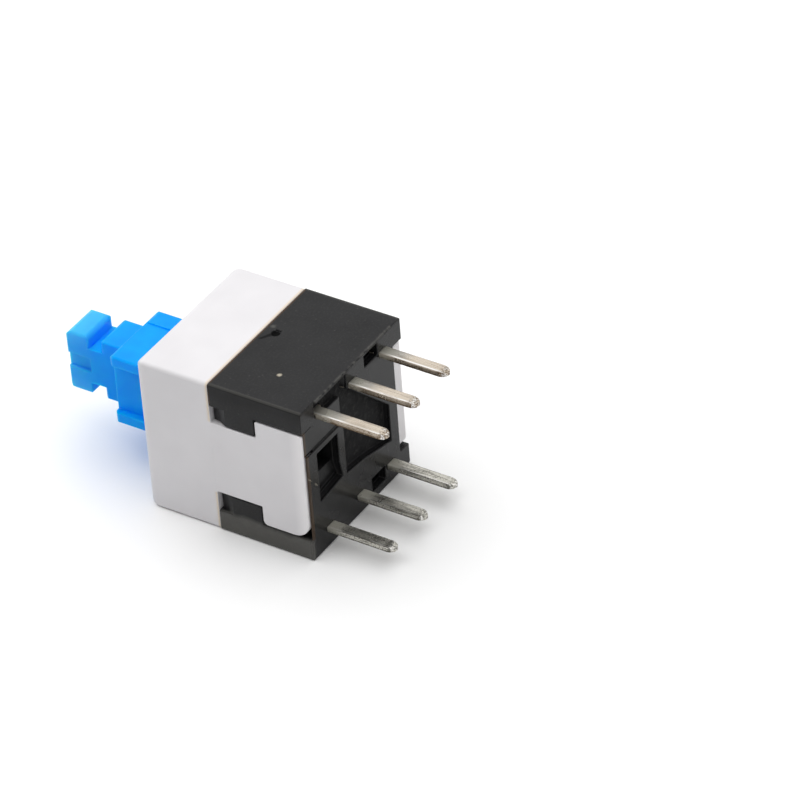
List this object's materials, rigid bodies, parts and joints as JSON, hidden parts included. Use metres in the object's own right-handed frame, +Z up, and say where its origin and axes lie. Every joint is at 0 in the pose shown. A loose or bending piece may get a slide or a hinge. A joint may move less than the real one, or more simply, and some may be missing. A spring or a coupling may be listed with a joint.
{
  "type": "latching push button switch",
  "caption": "Small square-bodied latching push switch with a blue plunger, white clip-on cover, black base and straight pins in parallel rows.",
  "frame": {"origin": "where the plunger's axis crosses the rear (board seat) plane", "axes": "+Y out of the rear face along the pins, -Y out of the front along the plunger, +Z up with the switch lying on its flat side, X across the width"},
  "size_m": [0.008, 0.0182, 0.008],
  "materials": {
    "white_plastic": "satin moulded white",
    "black_plastic": "satin moulded black with fine specks",
    "blue_plastic": "satin moulded azure, slightly translucent",
    "spring_steel": "bright drawn steel",
    "contact_bronze": "bright bronze strip",
    "tinned_strip": "tinned, sheared edges"
  },
  "bodies": {
    "housing": {"cover": "white_plastic", "base": "black_plastic", "latch_leaf": "spring_steel", "return_spring": "spring_steel", "terminal_top_closed": "tinned_strip", "terminal_top_common": "tinned_strip", "terminal_top_open": "tinned_strip", "terminal_bottom_closed": "tinned_strip", "terminal_bottom_common": "tinned_strip", "terminal_bottom_open": "tinned_strip"},
    "push_rod": {"plunger": "blue_plastic", "contact_clip_top": "contact_bronze", "contact_clip_bottom": "contact_bronze"},
    "latch": {"latch_wire": "spring_steel"}
  },
  "joints": [
    {"name": "plunger_press", "type": "slide", "parent": "housing", "child": "push_rod", "axis": [0, 1, 0], "range_m": [0, 0.0025], "stiffness_N_per_m": 500, "springref_m": -0.003, "deforming": ["return_spring"]},
    {"name": "latch_swing", "type": "hinge", "parent": "housing", "child": "latch", "pos_m": [-0.0028, -0.00195, 0], "axis": [-1, 0, 0], "range_deg": [0, 19.1]}
  ],
  "couplings": [
    {"joint": "latch_swing", "follows": "plunger_press", "rad_per_m": 132.65}
  ]
}
